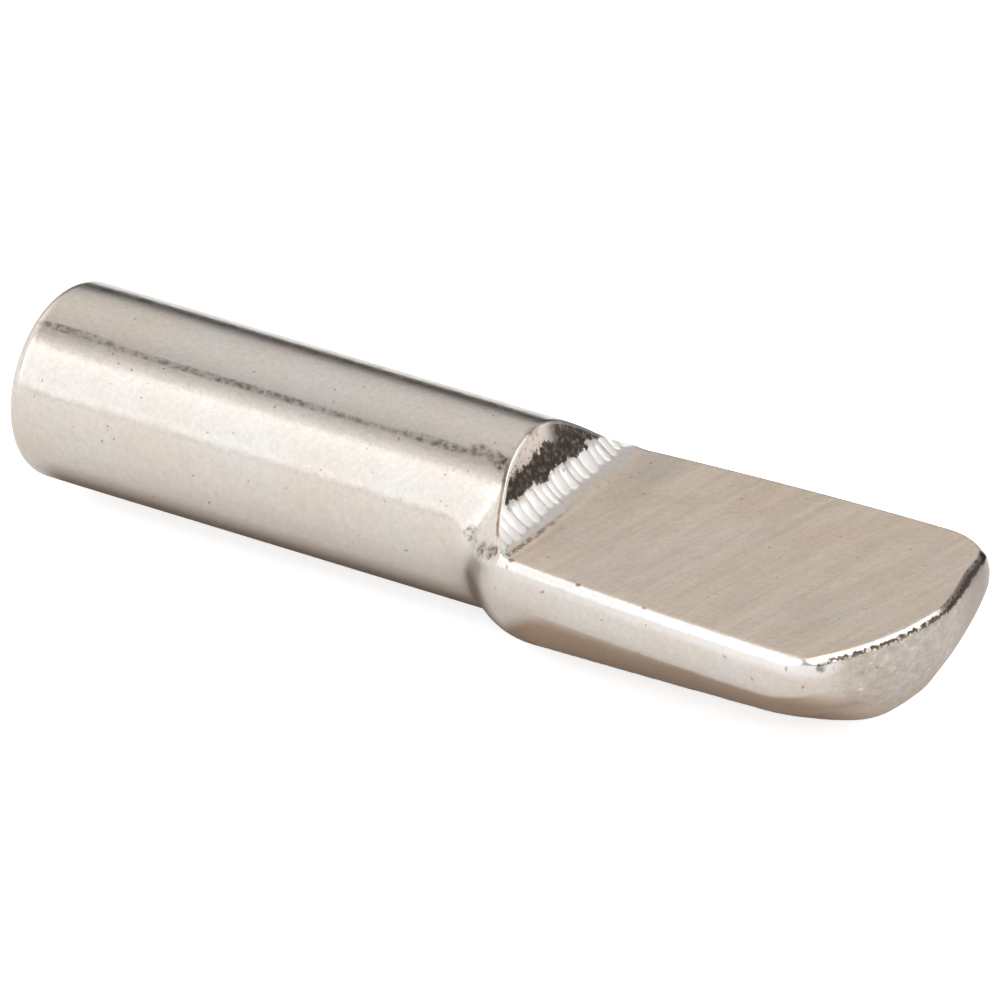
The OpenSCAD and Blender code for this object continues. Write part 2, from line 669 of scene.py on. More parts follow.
    def cast(self, origin: Array, guide: Array) -> Array:
        """Moves guide points onto the surface, along lines from points inside it.

        Args:
            origin: points inside the blade.
            guide: points near its surface, one for each origin.

        Returns:
            The points on the surface, laid out as the guide points are.
        """
        start = origin.reshape(-1, 3)
        reach = guide.reshape(-1, 3) - start
        low, high = (np.full(len(start), end) for end in self.CAST)
        for _ in range(HALVINGS):
            mid = (low + high) / 2.0
            outside = self.solid(start + reach * mid[:, None]) > 0.0
            low, high = np.where(outside, low, mid), np.where(outside, mid, high)
        return (start + reach * ((low + high) / 2.0)[:, None]).reshape(guide.shape)

    @staticmethod
    def patch(low: Array, high: Array, left: Array, right: Array, along: Array,
              over: Array) -> Array:
        """Fills a four-sided patch between its border lines.

        Args:
            low: border at the start of the rows, one point for each column.
            high: border at the end of the rows.
            left: border at the first column, one point for each row.
            right: border at the last column.
            along: share along the columns.
            over: share along the rows.

        Returns:
            Points by row and column.
        """
        u, v = along[None, :, None], over[:, None, None]
        ruled = mix(low[None], high[None], v)
        side = mix(left[:, None], right[:, None], u)
        corner = mix(mix(low[0], low[-1], u), mix(high[0], high[-1], u), v)
        return ruled + side - corner

    def stations(self, side: Side) -> Array:
        """Gives the places of the rows on one upper long edge.

        Args:
            side: the side of the pin.

        Returns:
            The places along X.
        """
        rim = [self.shank.rim(t)[0] for t in np.linspace(0.0, 90.0, self.end_rows + 1)]
        straight = np.linspace(rim[-1], self.neck_start, self.shank_rows + 1)[1:]
        arch = self.rim_x(self.arch_angle, side)
        top = self.shoulder.along(self.skin(arch, self.arch_angle, side)[2])
        length = arch - self.neck_start
        neck = self.neck_start + length * self.toward_edge(self.neck_rows, length)[1:]
        face = [self.edge_point(top * (1.0 - q), side)[0] for q in self.face_share[1:]]
        flat = np.linspace(face[-1], self.tip_start, self.flat_rows + 1)[1:]
        tip = self.tip_start + (self.corner_x - self.tip_start) * self.tip_share[1:]
        return np.concatenate([rim, straight, neck, face, flat, tip])

    def build_top(self, near_x: Array, far_x: Array) -> Array:
        """Builds the top: upper shank, shoulder and flat.

        Args:
            near_x: place along X of the near long edge at each row.
            far_x: the same for the far one.

        Returns:
            Points by row and column.
        """
        top = np.zeros((self.rows + 1, self.across + 1, 3))
        turn = mix(self.arch_angle, 180.0 - self.arch_angle, self.top_share)
        facing = np.minimum(turn, 180.0 - turn)
        sides = [Side.NEAR if t <= 90.0 else Side.FAR for t in turn]
        a, f, n = self.arch_row, self.foot_row, self.rows
        rim = np.array([self.rim_x(angle, side) for angle, side in zip(facing, sides)])
        bend = rim - mix(rim[0], rim[-1], self.top_share)
        for i in range(a + 1):
            held = ease((near_x[i] - self.neck_start) / (near_x[a] - self.neck_start))
            line = mix(near_x[i], far_x[i], self.top_share) + bend * held
            top[i] = [self.skin(*place) for place in zip(line, facing, sides)]
        self.round_end(top)
        left, right = self.long_edge(near_x, Side.NEAR), self.long_edge(far_x, Side.FAR)
        start = self.shoulder.along(top[a, :, 2])
        s = start[None] * (1.0 - self.face_share[:, None])
        foot = mix(left[f], right[f], self.top_share[:, None])
        face = self.patch(top[a].copy(), foot, left[a:f + 1], right[a:f + 1], self.top_share,
                          self.face_share)
        lift, self.ridge, self.groove = self.ridges.lift(face[..., 1], s)
        out_x, out_z = self.shoulder.facing(s)
        x, z = self.shoulder.at(s, face[..., 1])
        face[..., 0], face[..., 2] = x + lift * out_x, z + lift * out_z
        top[a + 1:f + 1] = face[1:]
        tip = self.tip_edge(left[n], right[n])
        over = (near_x[f:] - near_x[f]) / (near_x[n] - near_x[f])
        top[f:] = self.patch(face[-1], tip, left[f:], right[f:], self.top_share, over)
        top[f:, :, 2] = self.shoulder.flat_height
        top[a:, 0], top[a:, -1] = left[a:], right[a:]
        return top

    def round_end(self, grid: Array) -> None:
        """Draws the first rows of a grid in, round the rim of the free end."""
        for i, turn in enumerate(np.linspace(0.0, 90.0, self.end_rows + 1)):
            grid[i, :, 1:] *= self.shank.rim(turn)[1] / self.shank.radius

    def high_angle(self, i: int, x: float, side: Side) -> float:
        """Returns the facing angle of an upper long edge at one row."""
        return self.arch_angle if i <= self.arch_row else self.crease_angle(x, side)

    def long_edge(self, x: Array, side: Side) -> Array:
        """Draws one upper long edge.

        Args:
            x: the place along X of each row.
            side: the side of the pin.

        Returns:
            One point for each row.
        """
        line = np.zeros((self.rows + 1, 3))
        for i in range(self.rows + 1):
            line[i] = self.skin(x[i], self.high_angle(i, x[i], side), side)
        core = np.zeros((self.tip_rows + 1, 3))
        core[:, 0], core[:, 2] = x[self.tip_row:], self.shoulder.flat_height
        line[self.tip_row:] = self.cast(core, core + [0.0, side.value * self.trim_start, 0.0])
        return line

    def tip_edge(self, left: Array, right: Array) -> Array:
        """Draws the tip's upper edge.

        Args:
            left: its near corner.
            right: its far corner.

        Returns:
            Its points, from the near corner to the far one.
        """
        guide = mix(left, right, self.top_share[:, None])
        origin = np.tile([self.edge_core_x, 0.0, self.shoulder.flat_height], (len(guide), 1))
        edge = self.cast(origin, guide)
        edge[0], edge[-1] = left, right
        return edge

    def build(self) -> Array:
        """Builds the six sides of the block.

        Returns:
            Points by row, column and height. Those inside the block are left at 0.
        """
        near_x, far_x = self.stations(Side.NEAR), self.stations(Side.FAR)
        top = self.build_top(near_x, far_x)
        near = self.build_side(near_x, top[:, 0], Side.NEAR)
        far = self.build_side(far_x, top[:, -1], Side.FAR)
        under = self.build_under(near_x, far_x, near[:, 0], far[:, 0])
        block = np.zeros((self.rows + 1, self.across + 1, self.up + 1, 3))
        block[0] = self.build_end(top[0], under[0], near[0], far[0])
        block[-1] = self.build_tip(top[-1])
        block[:, :, 0], block[:, 0], block[:, -1], block[:, :, -1] = under, near, far, top
        return block

    def low_corner(self, side: Side) -> Array:
        """Returns the guide for a lower corner of the tip."""
        return np.array([self.low_x, side.value * self.low_y, self.low_z])

    def low_line(self) -> Array:
        """Returns the guide for the line between the lower corners of the tip."""
        return mix(self.low_corner(Side.NEAR), self.low_corner(Side.FAR), self.low_share[:, None])

    def press_tip(self, grid: Array, guide: Array) -> None:
        """Moves guide points for the rows near the tip onto the blade, and puts them in a grid.

        Args:
            grid: the grid, by row and column.
            guide: the points, by row and column.
        """
        core = np.tile(self.core, (self.tip_rows + 1, 1))
        core[:, 0] = mix(self.tip_start, self.core[0], self.tip_share)
        grid[self.tip_row:] = self.cast(np.repeat(core[:, None], guide.shape[1], 1), guide)

    def build_side(self, x: Array, edge: Array, side: Side) -> Array:
        """Builds one long side.

        Args:
            x: the place along X of each row.
            edge: the crisp edge, one point for each row.
            side: the side of the pin.

        Returns:
            Points by row, and from the lower line up to the crisp edge.
        """
        grid = np.zeros((self.rows + 1, self.up + 1, 3))
        for i in range(self.tip_row + 1):
            facing = mix(self.side_low, self.high_angle(i, x[i], side), self.side_share)
            grid[i] = [self.skin(x[i], angle, side) for angle in facing]
        self.round_end(grid)
        start = grid[self.tip_row].copy()
        last = mix(self.low_corner(side), edge[-1], self.side_share[:, None])
        low = mix(start[0], last[0], self.tip_share[:, None])
        self.press_tip(grid, self.patch(start, last, low, edge[self.tip_row:], self.side_share,
                                        self.tip_share))
        grid[:, -1] = edge
        return grid

    def build_under(self, near_x: Array, far_x: Array, near: Array, far: Array) -> Array:
        """Builds the underside between the lower lines of the two long sides.

        Args:
            near_x: place along X of the near side's rows.
            far_x: the same for the far side.
            near: lower line of the near side.
            far: lower line of the far side.

        Returns:
            Points by row and column.
        """
        grid = np.zeros((self.rows + 1, self.across + 1, 3))
        spread = self.low_share * 2.0 - 1.0
        facing = mix(-90.0, self.side_low, np.abs(spread))
        sides = [Side.NEAR if s < 0.0 else Side.FAR for s in spread]
        for i in range(self.tip_row + 1):
            line = mix(near_x[i], far_x[i], self.low_share)
            grid[i] = [self.skin(*place) for place in zip(line, facing, sides)]
        self.round_end(grid)
        self.press_tip(grid, mix(grid[None, self.tip_row], self.low_line()[None],
                                 self.tip_share[:, None, None]))
        grid[:, 0], grid[:, -1] = near, far
        return grid

    def build_end(self, top: Array, under: Array, near: Array, far: Array) -> Array:
        """Builds the flat face of the free end, by column and height."""
        along = mix(self.low_share, self.top_share, 0.5)
        return self.patch(under, top, near, far, along, self.side_share).transpose(1, 0, 2)

    def build_tip(self, edge: Array) -> Array:
        """Builds the end face of the blade.

        Args:
            edge: its upper edge, one point for each column.

        Returns:
            Points by column and height.
        """
        low = self.low_line()
        left = mix(low[0], edge[0], self.side_share[:, None])
        right = mix(low[-1], edge[-1], self.side_share[:, None])
        along = mix(self.low_share, self.top_share, 0.5)
        guide = self.patch(low, edge, left, right, along, self.side_share)
        face = self.cast(np.broadcast_to(self.core, guide.shape), guide)
        face[-1] = edge
        return face.transpose(1, 0, 2)

    def mesh(self) -> bmesh.types.BMesh:
        """Makes the block, subdivides it, presses it to shape and eases its edges.

        Returns:
            The finished mesh, in metres.
        """
        block = self.build()
        top = block[:, :, -1]
        bm = bmesh.new()
        bmesh.ops.create_cube(bm, size=2.0)
        steps = (self.rows, self.across, self.up)
        for axis, count in enumerate(steps):
            edges = [e for e in bm.edges if abs(e.verts[0].co[axis] - e.verts[1].co[axis]) > 1.0]
            bmesh.ops.subdivide_edges(bm, edges=edges, cuts=count - 1, use_grid_fill=True)
        edge, rim = [], []
        trees = self.edge_trees(top)
        layers = {name: bm.verts.layers.float.new(name) for name in self.MEASURES}
        for v in bm.verts:
            i, j, k = (round((v.co[n] + 1.0) / 2.0 * steps[n]) for n in range(3))
            if self.near_edge(i, j, k):
                edge.append(v)
            if self.by_rim(i, j, k):
                rim.append(v)
            v.co = Vector(block[i, j, k])
            pressed = k == self.up and i > self.arch_row
            for name, tree in trees.items():
                v[layers[name]] = tree.find(v.co)[2] * (-1.0 if pressed else 1.0)
            v[layers["foot"]] = self.foot_gap(top, i, j) if pressed else self.OFF_FOOT
            if i == self.rows:
                v[layers["end"]] = float(ease((v.co.x - self.corner_x) / self.end_fade))
            if pressed and i <= self.foot_row:
                v[layers["ridge"]] = float(self.ridge[i - self.arch_row, j])
                v[layers["groove"]] = float(self.groove[i - self.arch_row, j])
        for verts in [edge] * self.EDGE_EASING + [rim] * self.RIM_EASING:
            bmesh.ops.smooth_vert(bm, verts=verts, factor=0.5, use_axis_x=True, use_axis_y=True,
                                  use_axis_z=True)
        bmesh.ops.scale(bm, vec=(MM, MM, MM), verts=bm.verts)
        bmesh.ops.recalc_face_normals(bm, faces=bm.faces)
        for f in bm.faces:
            f.smooth = True
        return bm

    def edge_trees(self, top: Array) -> dict[str, KDTree]:
        """Makes search trees for the distances from the pressed edges.

        Args:
            top: the points of the block's top.

        Returns:
            A tree along the shoulder's rim, one along the long edges and one along the tip's.
        """
        a, f = self.arch_row, self.foot_row
        lines = {"rim": [top[a], top[a:f + 1, 0], top[a:f + 1, -1]],
                 "side": [top[f:, 0], top[f:, -1]], "tip": [top[-1]]}
        steps = np.linspace(0.0, 1.0, self.tree_steps)[None, :, None]
        trees = {}
        for name, parts in lines.items():
            points = np.concatenate([mix(p[:-1, None], p[1:, None], steps).reshape(-1, 3)
                                     for p in parts])
            trees[name] = KDTree(len(points))
            for n, point in enumerate(points):
                trees[name].insert(point, n)
            trees[name].balance()
        return trees

    def foot_gap(self, top: Array, i: int, j: int) -> float:
        """Measures how far a point of the pressed side is from the shoulder's foot.

        Args:
            top: the points of the block's top.
            i: the point's row.
            j: its column.

        Returns:
            The distance up the face, less than 0 on the flat.
        """
        if i <= self.foot_row:
            return float(self.shoulder.along(top[self.arch_row, j, 2])
                         * (1.0 - self.face_share[i - self.arch_row]))
        return float(top[self.foot_row, j, 0] - top[i, j, 0])

    def by_rim(self, i: int, j: int, k: int) -> bool:
        """Says whether a place on the block is by the shoulder's rim, away from its two ends."""
        return k == self.up and abs(i - self.arch_row) <= 2 and min(j, self.across - j) > 3

    def near_edge(self, i: int, j: int, k: int) -> bool:
        """Says whether a place on the block is on a pressed edge or one step from it."""
        beside = i >= self.rows - 1 or (i >= self.arch_row and min(j, self.across - j) <= 1)
        return (k >= self.up - 1 and beside) or (k == self.up and abs(i - self.arch_row) <= 1)


class Graph:
    """Adds shader nodes to one node tree and joins them up."""

    def __init__(self, tree: bpy.types.NodeTree) -> None:
        """Keeps the node tree that the nodes go in."""
        self.tree = tree

    def add(self, kind: str, **settings: object) -> bpy.types.Node:
        """Adds one node.

        Args:
            kind: the node's type name, without the "ShaderNode" that they all start with.
            settings: attributes to set on it.

        Returns:
            The node.
        """
        node = self.tree.nodes.new("ShaderNode" + kind)
        for name, value in settings.items():
            setattr(node, name, value)
        return node

    def feed(self, socket: Socket, value: Value) -> None:
        """Links a socket to another one, or sets it to a plain number or colour.

        Args:
            socket: the socket that takes the value.
            value: the value.
        """
        if isinstance(value, bpy.types.NodeSocket):
            self.tree.links.new(value, socket)
        elif isinstance(value, tuple):
            socket.default_value = (*value, 1.0) if len(socket.default_value) == 4 else value
        else:
            socket.default_value = value

    def math(self, operation: str, *values: Value, clamp: bool = False) -> Socket:
        """Adds a Math node.

        Args:
            operation: its operation.
            values: its inputs, in order.
            clamp: whether its result is kept between 0 and 1.

        Returns:
            Its result.
        """
        node = self.add("Math", operation=operation, use_clamp=clamp)
        for socket, value in zip(node.inputs, values):
            self.feed(socket, value)
        return node.outputs[0]

    def times(self, product: Value, *factors: Value) -> Socket:
        """Multiplies values, one after the other.

        Args:
            product: the first value.
            factors: the others.

        Returns:
            The product of them all.
        """
        for factor in factors:
            product = self.math("MULTIPLY", product, factor)
        return product

    def plus(self, a: Value, b: Value) -> Socket:
        """Returns the sum of two values."""
        return self.math("ADD", a, b)

    def minus(self, a: Value, b: Value) -> Socket:
        """Returns a less b."""
        return self.math("SUBTRACT", a, b)

    def scaled(self, a: Value, share: Value, b: Value) -> Socket:
        """Returns a times share, plus b."""
        return self.math("MULTIPLY_ADD", a, share, b)

    def span(self, value: Socket, low: float, high: float, start: float = 0.0,
             end: float = 1.0) -> Socket:
        """Turns a value that runs from low to high into one that runs smoothly from start to end.

        Args:
            value: the value.
            low: where the result is start.
            high: where the result is end.
            start: result at low and below.
            end: result at high and above.

        Returns:
            The result.
        """
        node = self.add("MapRange", interpolation_type="SMOOTHSTEP")
        for socket, item in zip(node.inputs, (value, low, high, start, end)):
            self.feed(socket, item)
        return node.outputs[0]

    def fall(self, value: Socket, low: float, high: float) -> Socket:
        """Returns 1 up to low, falling smoothly to 0 at high."""
        return self.span(value, low, high, 1.0, 0.0)

    def band(self, value: Socket, low: float, high: float, soft: float) -> Socket:
        """Returns 1 where a value lies between low and high, fading to 0 over soft at each end."""
        return self.times(self.span(value, low - soft, low), self.fall(value, high, high + soft))

    def mix(self, share: Value, a: Value, b: Value, blend: str = "MIX") -> Socket:
        """Mixes two colours.

        Args:
            share: how much of b there is.
            a: the first colour.
            b: the second colour.
            blend: how b goes onto a.

        Returns:
            The mixed colour.
        """
        node = self.add("Mix", data_type="RGBA", blend_type=blend)
        for n, value in ((0, share), (6, a), (7, b)):
            self.feed(node.inputs[n], value)
        return node.outputs[2]

    def place(self, output: str = "Object") -> Socket:
        """Returns the place that is shaded, as one output of the Texture Coordinate node."""
        return self.add("TexCoord").outputs[output]

    def axes(self, place: Socket, scale: float = 1.0) -> list[Socket]:
        """Splits a place up.

        Args:
            place: the place.
            scale: factor on each of its parts.

        Returns:
            Its X, Y and Z parts.
        """
        node = self.add("SeparateXYZ")
        self.feed(node.inputs[0], place)
        return [self.times(node.outputs[n], scale) for n in range(3)]


class Surface(Graph):
    """The node tree of the pin's finish, with the places and the noises that its marks share.

    The foot line is where the brushed flat ends, a little up the shoulder's foot, and its
    measure is the distance up the face from there. The wave is a small distance that follows
    the ragged noise, and makes straight borders uneven.
    """

    def __init__(self, tree: bpy.types.NodeTree, streak_turn: float) -> None:
        """Adds the nodes that read the place, the mesh's measures and the shared noises.

        Args:
            tree: the material's node tree.
            streak_turn: angle about Z of the streaks across the blade, in degrees.
        """
        super().__init__(tree)
        self.here = self.place()
        self.x, self.y, self.z = self.axes(self.here, 1.0 / MM)
        self.rim, self.side, self.tip, self.foot, self.ridge, self.groove, self.end = (
            self.add("Attribute", attribute_name=name).outputs["Fac"]
            for name in PinBody.MEASURES)
        self.foot_line = self.minus(self.foot, self.span(self.y, -3.2, 3.0, 0.27, 0.31))
        self.flat = self.fall(self.foot_line, -0.05, 0.03)
        fine = self.noise((11.0, 0.55, 2.0), 3.0, 0.6, streak_turn)
        broad = self.noise((2.6, 0.22, 1.0), 2.0, 0.5, streak_turn, (7.0, 3.0, 0.0))
        self.streaks = self.scaled(broad, 0.45, self.times(fine, 0.55))
        self.speckle = self.noise((7.0, 7.0, 7.0), 3.0, 0.7)
        self.ragged = self.noise((6.0, 6.0, 6.0), 3.0, 0.6, shift=(1.0, 8.0, 2.0))
        self.wave = self.times(self.minus(self.ragged, 0.5), 0.20)
        self.patch = self.noise((1.3, 1.3, 1.3), 3.0, 0.6, shift=(9.0, 1.0, 4.0))

    def noise(self, scale: Triple, detail: float, roughness: float, turn: float = 0.0,
              shift: Triple = (0.0, 0.0, 0.0)) -> Socket:
        """Adds soft noise that is drawn out along the axes of a turned frame.

        Args:
            scale: repeats for each millimetre along X, Y and Z, after the turn.
            detail: how many finer layers it has.
            roughness: how strong they are.
            turn: angle about Z, in degrees.
            shift: moves the pattern, so that two of one kind differ.

        Returns:
            The noise, from 0 to 1.
        """
        turned = self.add("Mapping", vector_type="POINT")
        self.feed(turned.inputs["Vector"], self.here)
        turned.inputs["Rotation"].default_value = (0.0, 0.0, math.radians(turn))
        drawn = self.add("Mapping", vector_type="POINT")
        self.feed(drawn.inputs["Vector"], turned.outputs[0])
        drawn.inputs["Scale"].default_value = tuple(v / MM for v in scale)
        drawn.inputs["Location"].default_value = shift
        node = self.add("TexNoise", noise_dimensions="3D")
        for name, value in (("Vector", drawn.outputs[0]), ("Scale", 1.0), ("Detail", detail),
                            ("Roughness", roughness)):
            self.feed(node.inputs[name], value)
        return node.outputs["Fac"]


@dataclass(frozen=True)
class Mark:
    """A soft-edged mark on the surface, in millimetres, and how strong it is."""

    centre: Triple
    size: Triple
    strength: float

    def share(self, on: Surface) -> Socket:
        """Gives the mark's shape.

        Args:
            on: the surface that it is on.

        Returns:
            1 at its centre, falling to 0 at its size.
        """
        total = 0.0
        for axis, middle, reach in zip((on.x, on.y, on.z), self.centre, self.size):
            part = on.math("DIVIDE", on.minus(axis, middle), reach)
            total = on.scaled(part, part, total)
        return on.fall(total, 0.0, 1.0)


@dataclass(frozen=True)
class NickelPlate:
    """Satin nickel plating over pressed steel, with the marks of the press and of handling.

    The marks are painted in layers, each a share of one colour over what is there already.
    Some layers are painted light: highlights on the ridges, the rim, the blade's long edges, the
    tip's chamfer and the end face, and shade between the ridges, on the flat by the foot, in the
    flare's near corner, over the tip's far half, on the end face's far side and in a dark line
    reflected along the shank.
    """

    plate: Triple = (0.700, 0.632, 0.568)
    cool: Triple = (0.690, 0.660, 0.625)
    warm: Triple = (0.690, 0.600, 0.515)
    # Colour of painted highlights
    pale_highlight: Triple = (0.930, 0.900, 0.870)
    # Colour of the painted shade between the ridges
    groove_shade_grey: Triple = (0.520, 0.500, 0.480)
    pink: Triple = (0.840, 0.740, 0.680)
    brushed: Triple = (1.200, 1.110, 1.010)
    # Brown of dirt, also used for painted shade
    mud_and_shade: Triple = (0.420, 0.350, 0.300)
    stain: Triple = (0.260, 0.160, 0.090)
    # Near black of dirt, also used for painted shade and a painted dark reflection
    grime_and_shade: Triple = (0.070, 0.052, 0.042)
    streak_turn: float = 6.0
    bump_height: float = 0.0025
    smudges_and_shade: tuple[Mark, ...] = (
        Mark((0.000, -2.47, 0.560), (0.32, 0.30, 0.28), 1.00),
        Mark((0.300, -2.55, 0.360), (0.38, 0.34, 0.30), 1.00),
        Mark((0.640, -2.86, 0.440), (0.36, 0.34, 0.28), 1.00),
        Mark((0.950, -3.20, 0.620), (0.28, 0.26, 0.24), 1.00),
        Mark((1.220, -3.22, 0.720), (0.20, 0.20, 0.18), 1.00),
        # Painted shade in the concave corner where the shank swells into the blade, on the near
        # side
        Mark((0.250, -2.55, -0.250), (0.45, 0.45, 0.80), 0.55),
        Mark((0.140, -1.42, 2.070), (0.26, 0.34, 0.26), 0.95),
        Mark((-0.140, -1.32, 2.130), (0.30, 0.26, 0.20), 0.80),
        Mark((-0.600, -1.24, 2.170), (0.40, 0.20, 0.20), 0.75),
        # The next three draw painted reflection: a dark line along the shank that mirrors a gap in
        # the lights
        Mark((-1.700, -1.38, 2.080), (1.70, 0.16, 0.20), 0.72),
        Mark((-7.500, -1.42, 2.055), (6.50, 0.12, 0.15), 0.72),
        Mark((-12.60, -1.35, 2.105), (1.60, 0.13, 0.16), 0.80),
        Mark((0.260, -0.20, 2.480), (0.22, 0.45, 0.16), 0.75),
        Mark((11.00, -3.700, 0.560), (0.20, 0.20, 0.24), 1.00))
    dots: tuple[Mark, ...] = (
        Mark((0.860, -3.010, 0.950), (0.12, 0.12, 0.14), 0.9),
        Mark((1.790, -3.470, 0.740), (0.12, 0.08, 0.08), 0.9),
        Mark((3.880, -3.660, 0.740), (0.10, 0.07, 0.08), 0.9),
        Mark((5.900, -3.800, 0.740), (0.09, 0.06, 0.07), 0.6))

    def material(self) -> bpy.types.Material:
        """Makes the material.

        Returns:
            The material.
        """
        mat = bpy.data.materials.new("nickel_plate")
        mat.use_nodes = True
        on = Surface(mat.node_tree, self.streak_turn)
        colour = self.tone(on)
        for marks in (self.shoulder_marks, self.rim_marks, self.spots, self.end_face,
                      self.tip_marks, self.specks):
            for share, tint in marks(on):
                colour = on.mix(share, colour, tint)
        inputs = mat.node_tree.nodes["Principled BSDF"].inputs
        on.feed(inputs["Base Color"], colour)
        on.feed(inputs["Roughness"], self.roughness(on))
        on.feed(inputs["Normal"], self.grain(on))
        inputs["Metallic"].default_value = 1.0
        return mat

    def tone(self, on: Surface) -> Socket:
        """Makes the plate's own colour, mottled all over and brushed on the flat.

        Args:
            on: the surface.

        Returns:
            The colour.
        """
        broad = on.noise((0.30, 0.34, 0.4), 3.0, 0.55)
        cloud = on.noise((1.1, 0.8, 1.1), 4.0, 0.6, 20.0, (3.1, 0.0, 5.0))
        blot = on.noise((0.9, 0.5, 1.0), 4.0, 0.65, 30.0, (6.0, 2.0, 0.0))
        colour = on.mix(on.span(broad, 0.35, 0.68), self.warm, self.cool)
        colour = on.mix(on.span(cloud, 0.25, 0.75, 0.75, 0.25), colour, self.plate)
        colour = on.mix(on.flat, colour, on.mix(1.0, colour, self.brushed, "MULTIPLY"))
        colour = on.mix(on.times(on.span(blot, 0.52, 0.70, 0.0, 0.13), on.flat), colour, self.mud_and_shade)
        lines = on.minus(on.span(on.streaks, 0.3, 0.7, 0.94, 1.08), 1.0)
        shade = on.times(on.span(on.speckle, 0.2, 0.8, 0.93, 1.07), on.scaled(lines, on.flat, 1.0))
        return on.mix(1.0, colour, shade, "MULTIPLY")

    def shoulder_marks(self, on: Surface) -> Layers:
        """Lists burnished ridges with a painted highlight, painted shade between them, a dark
        scraped band, a rosy patch, a brown foot line and painted shade on the flat by the foot.

        Args:
            on: the surface.

        Returns:
            The layers, in order.
        """
        broad = on.noise((1.9, 1.9, 1.9), 2.0, 0.5, shift=(1.0, 3.0, 2.0))
        fine = on.noise((5.5, 5.5, 5.5), 3.0, 0.7, shift=(2.0, 2.0, 5.0))
        jitter = on.scaled(on.minus(broad, 0.5), 0.45, on.times(on.minus(fine, 0.5), 0.65))
        up = on.plus(on.foot, jitter)
        inside = on.scaled(jitter, 1.2, on.rim)
        foot = on.scaled(jitter, 0.22, on.foot_line)
        face = on.times(on.span(on.foot, 0.02, 0.08), on.fall(on.rim, -0.03, 0.0))
        dark = on.times(on.span(up, 1.22, 1.29), face,
                        on.span(on.speckle, 0.46, 0.76, 1.0, 0.66))
        rosy = on.times(on.span(inside, -0.62, -0.52), on.span(up, 1.75, 1.90), face,
                        on.fall(on.y, 0.2, 0.9))
        line = on.times(on.band(foot, -0.08, 0.0, 0.06), on.span(on.y, -2.2, 0.8, 0.85, 0.0),
                        on.span(fine, 0.36, 0.56, 0.15, 1.0))
        # Painted shade on the flat by the shoulder's foot, stronger toward the far side
        shade = on.times(on.band(foot, -1.1, -0.10, 0.5), on.span(on.y, -2.0, 2.6, 0.04, 0.24))
        # Painted shade between the ridges
        groove_shade = on.times(on.span(on.groove, 0.35, 0.95, 0.0, 0.60), face)
        flecks = on.times(rosy, on.span(on.speckle, 0.50, 0.66, 0.0, 0.75))
        # The ridges are burnished and painted lighter still, as a highlight
        return [(on.times(on.ridge, face), self.pale_highlight), (groove_shade, self.groove_shade_grey), (dark, self.grime_and_shade),
                (on.times(rosy, 0.95), self.pink), (flecks, self.mud_and_shade), (line, self.stain),
                (shade, self.mud_and_shade)]

    def rim_marks(self, on: Surface) -> Layers:
        """Lists a painted highlight inside the shoulder's rim, a brown line outside it and a
        painted highlight along the blade's long edges.

        Args:
            on: the surface.

        Returns:
            The layers, in order.
        """
        # Painted highlight just inside the rounded rim, strongest on the near side
        white = on.times(on.band(on.rim, -0.085, 0.0, 0.03), on.span(on.y, -1.3, 0.0, 1.0, 0.25),
                         on.span(on.foot, 0.3, 0.6), 0.95)
        line = on.times(on.band(on.scaled(on.wave, 0.4, on.rim), 0.02, 0.09, 0.03),
                        on.span(on.y, -1.9, -1.1, 1.0, 0.15),
                        on.span(on.patch, 0.30, 0.60, 0.45, 1.0), on.span(on.y, -3.1, -2.9))
        below = on.scaled(on.wave, 0.8, on.times(on.side, on.span(on.x, 0.0, 11.0, 1.05, 0.80)))
        # Painted highlight along the blade's long edges, strongest on the near side and toward the
        # tip
        lip_highlight = on.times(on.span(below, 0.02, 0.06), on.fall(below, 0.28, 0.52),
                       on.span(on.y, -1.0, 0.0, 1.0, 0.3), on.span(on.x, 3.0, 10.0, 0.22, 0.62))
        return [(white, self.pale_highlight), (line, self.stain), (lip_highlight, self.pale_highlight)]

    def spots(self, on: Surface) -> Layers:
        """Lists the smudged dirt, the painted shade and the painted dark line, broken up by noise,
        and the dots.

        Args:
            on: the surface.

        Returns:
            The layers, in order.
        """
        broken = on.span(on.ragged, 0.38, 0.66, 0.25, 1.0)
        return [(on.times(mark.share(on), mark.strength, broken), self.grime_and_shade)
                for mark in self.smudges_and_shade] + [
                    (on.times(mark.share(on), mark.strength), self.stain) for mark in self.dots]

    def end_face(self, on: Surface) -> Layers:
        """Lists the marks on the blade's end face: mottling, painted glints and painted shade
        on its far side.

        Args:
            on: the surface.

        Returns:
            The layers, in order.
        """
        rough = on.noise((3.2, 3.2, 5.4), 5.0, 0.75, shift=(4.0, 1.0, 1.0))
        return [(on.times(share, on.end), tint) for share, tint in (
            (on.span(rough, 0.36, 0.66, 0.26, 0.72), self.mud_and_shade),
            # Painted glints
            (on.span(rough, 0.32, 0.38, 0.7, 0.0), self.pale_highlight),
            # Painted shade on the far side
            (on.span(on.y, 0.2, 2.5, 0.0, 0.95), self.mud_and_shade))]

    def tip_marks(self, on: Surface) -> Layers:
        """Lists a painted highlight on the near half of the tip's chamfer, its ragged dark border,
        and a painted dark reflection over both on the far half.

        Args:
            on: the surface.

        Returns:
            The layers, in order.
        """
        tip = on.scaled(on.wave, 1.4, on.tip)
        on_end = on.span(on.tip, 0.0, 0.02)
        # Painted highlight on the near half of the chamfer
        chamfer_highlight = on.times(on.band(tip, 0.0, 0.13, 0.02), on_end, on.fall(on.y, -0.1, 0.3), 0.9)
        border = on.times(on.band(tip, 0.14, 0.22, 0.03), on_end,
                          on.span(on.ragged, 0.36, 0.50, 0.15, 0.90), on.span(on.end, 0.0, 0.15))
